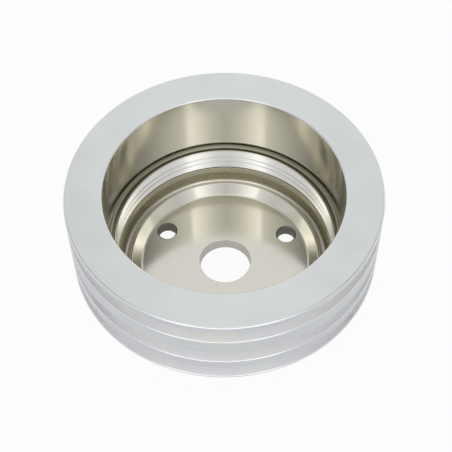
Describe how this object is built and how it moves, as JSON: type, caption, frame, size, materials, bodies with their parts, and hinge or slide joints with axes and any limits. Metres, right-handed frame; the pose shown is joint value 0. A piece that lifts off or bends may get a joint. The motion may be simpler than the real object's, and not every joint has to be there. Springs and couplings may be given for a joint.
{
  "type": "crankshaft pulley",
  "caption": "Cup-shaped V-belt pulley: a thick grooved rim around a deep stepped bore, with a flat bolting floor and a central pilot hole.",
  "frame": {"origin": "on the shaft's axis, at the centre of the flat back face that bolts to the crankshaft", "axes": "+Z along the shaft's axis from the back face to the open front; +X and +Y across it, with one bolt hole 27 degrees from +X towards +Y"},
  "size_m": [0.168, 0.168, 0.074],
  "materials": {
    "turned_aluminium": "fine turned, satin to bright",
    "polished_aluminium": "turned and polished, warm reflections"
  },
  "bodies": {
    "root": {"grooved_rim": "turned_aluminium", "hub_cup": "polished_aluminium"}
  },
  "joints": []
}
